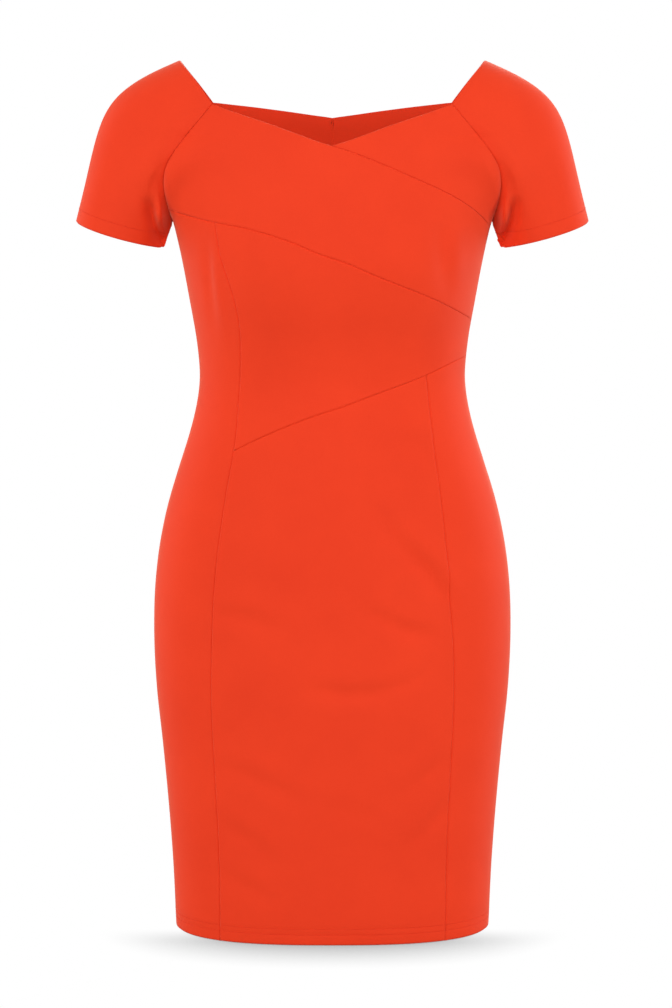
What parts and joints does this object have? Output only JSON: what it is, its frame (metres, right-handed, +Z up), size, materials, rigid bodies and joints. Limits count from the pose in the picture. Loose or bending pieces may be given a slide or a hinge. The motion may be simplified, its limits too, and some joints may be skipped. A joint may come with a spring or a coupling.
{
  "type": "pencil dress",
  "caption": "Fitted knee-length dress filled out as if worn, with short sleeves, a wide crossed V neck, a diagonal front band and an asymmetric waist wedge.",
  "frame": {"origin": "midway between the wearer's two shoulder points, at the height of the tops of the sleeves", "axes": "+Z up, -Y the dress's front, +X the wearer's left"},
  "size_m": [0.5354, 0.2706, 0.9119],
  "materials": {
    "crepe": "matt orange-red stretch crepe jersey with a soft pale bloom at grazing angles"
  },
  "bodies": {
    "root": {"front_wrap_band": "crepe", "front_yoke": "crepe", "front_waist_wedge": "crepe", "front_side_panel": "crepe", "front_skirt_centre": "crepe", "front_skirt_side": "crepe", "back_left": "crepe", "back_right": "crepe", "sleeve_left": "crepe", "sleeve_right": "crepe"}
  },
  "joints": []
}
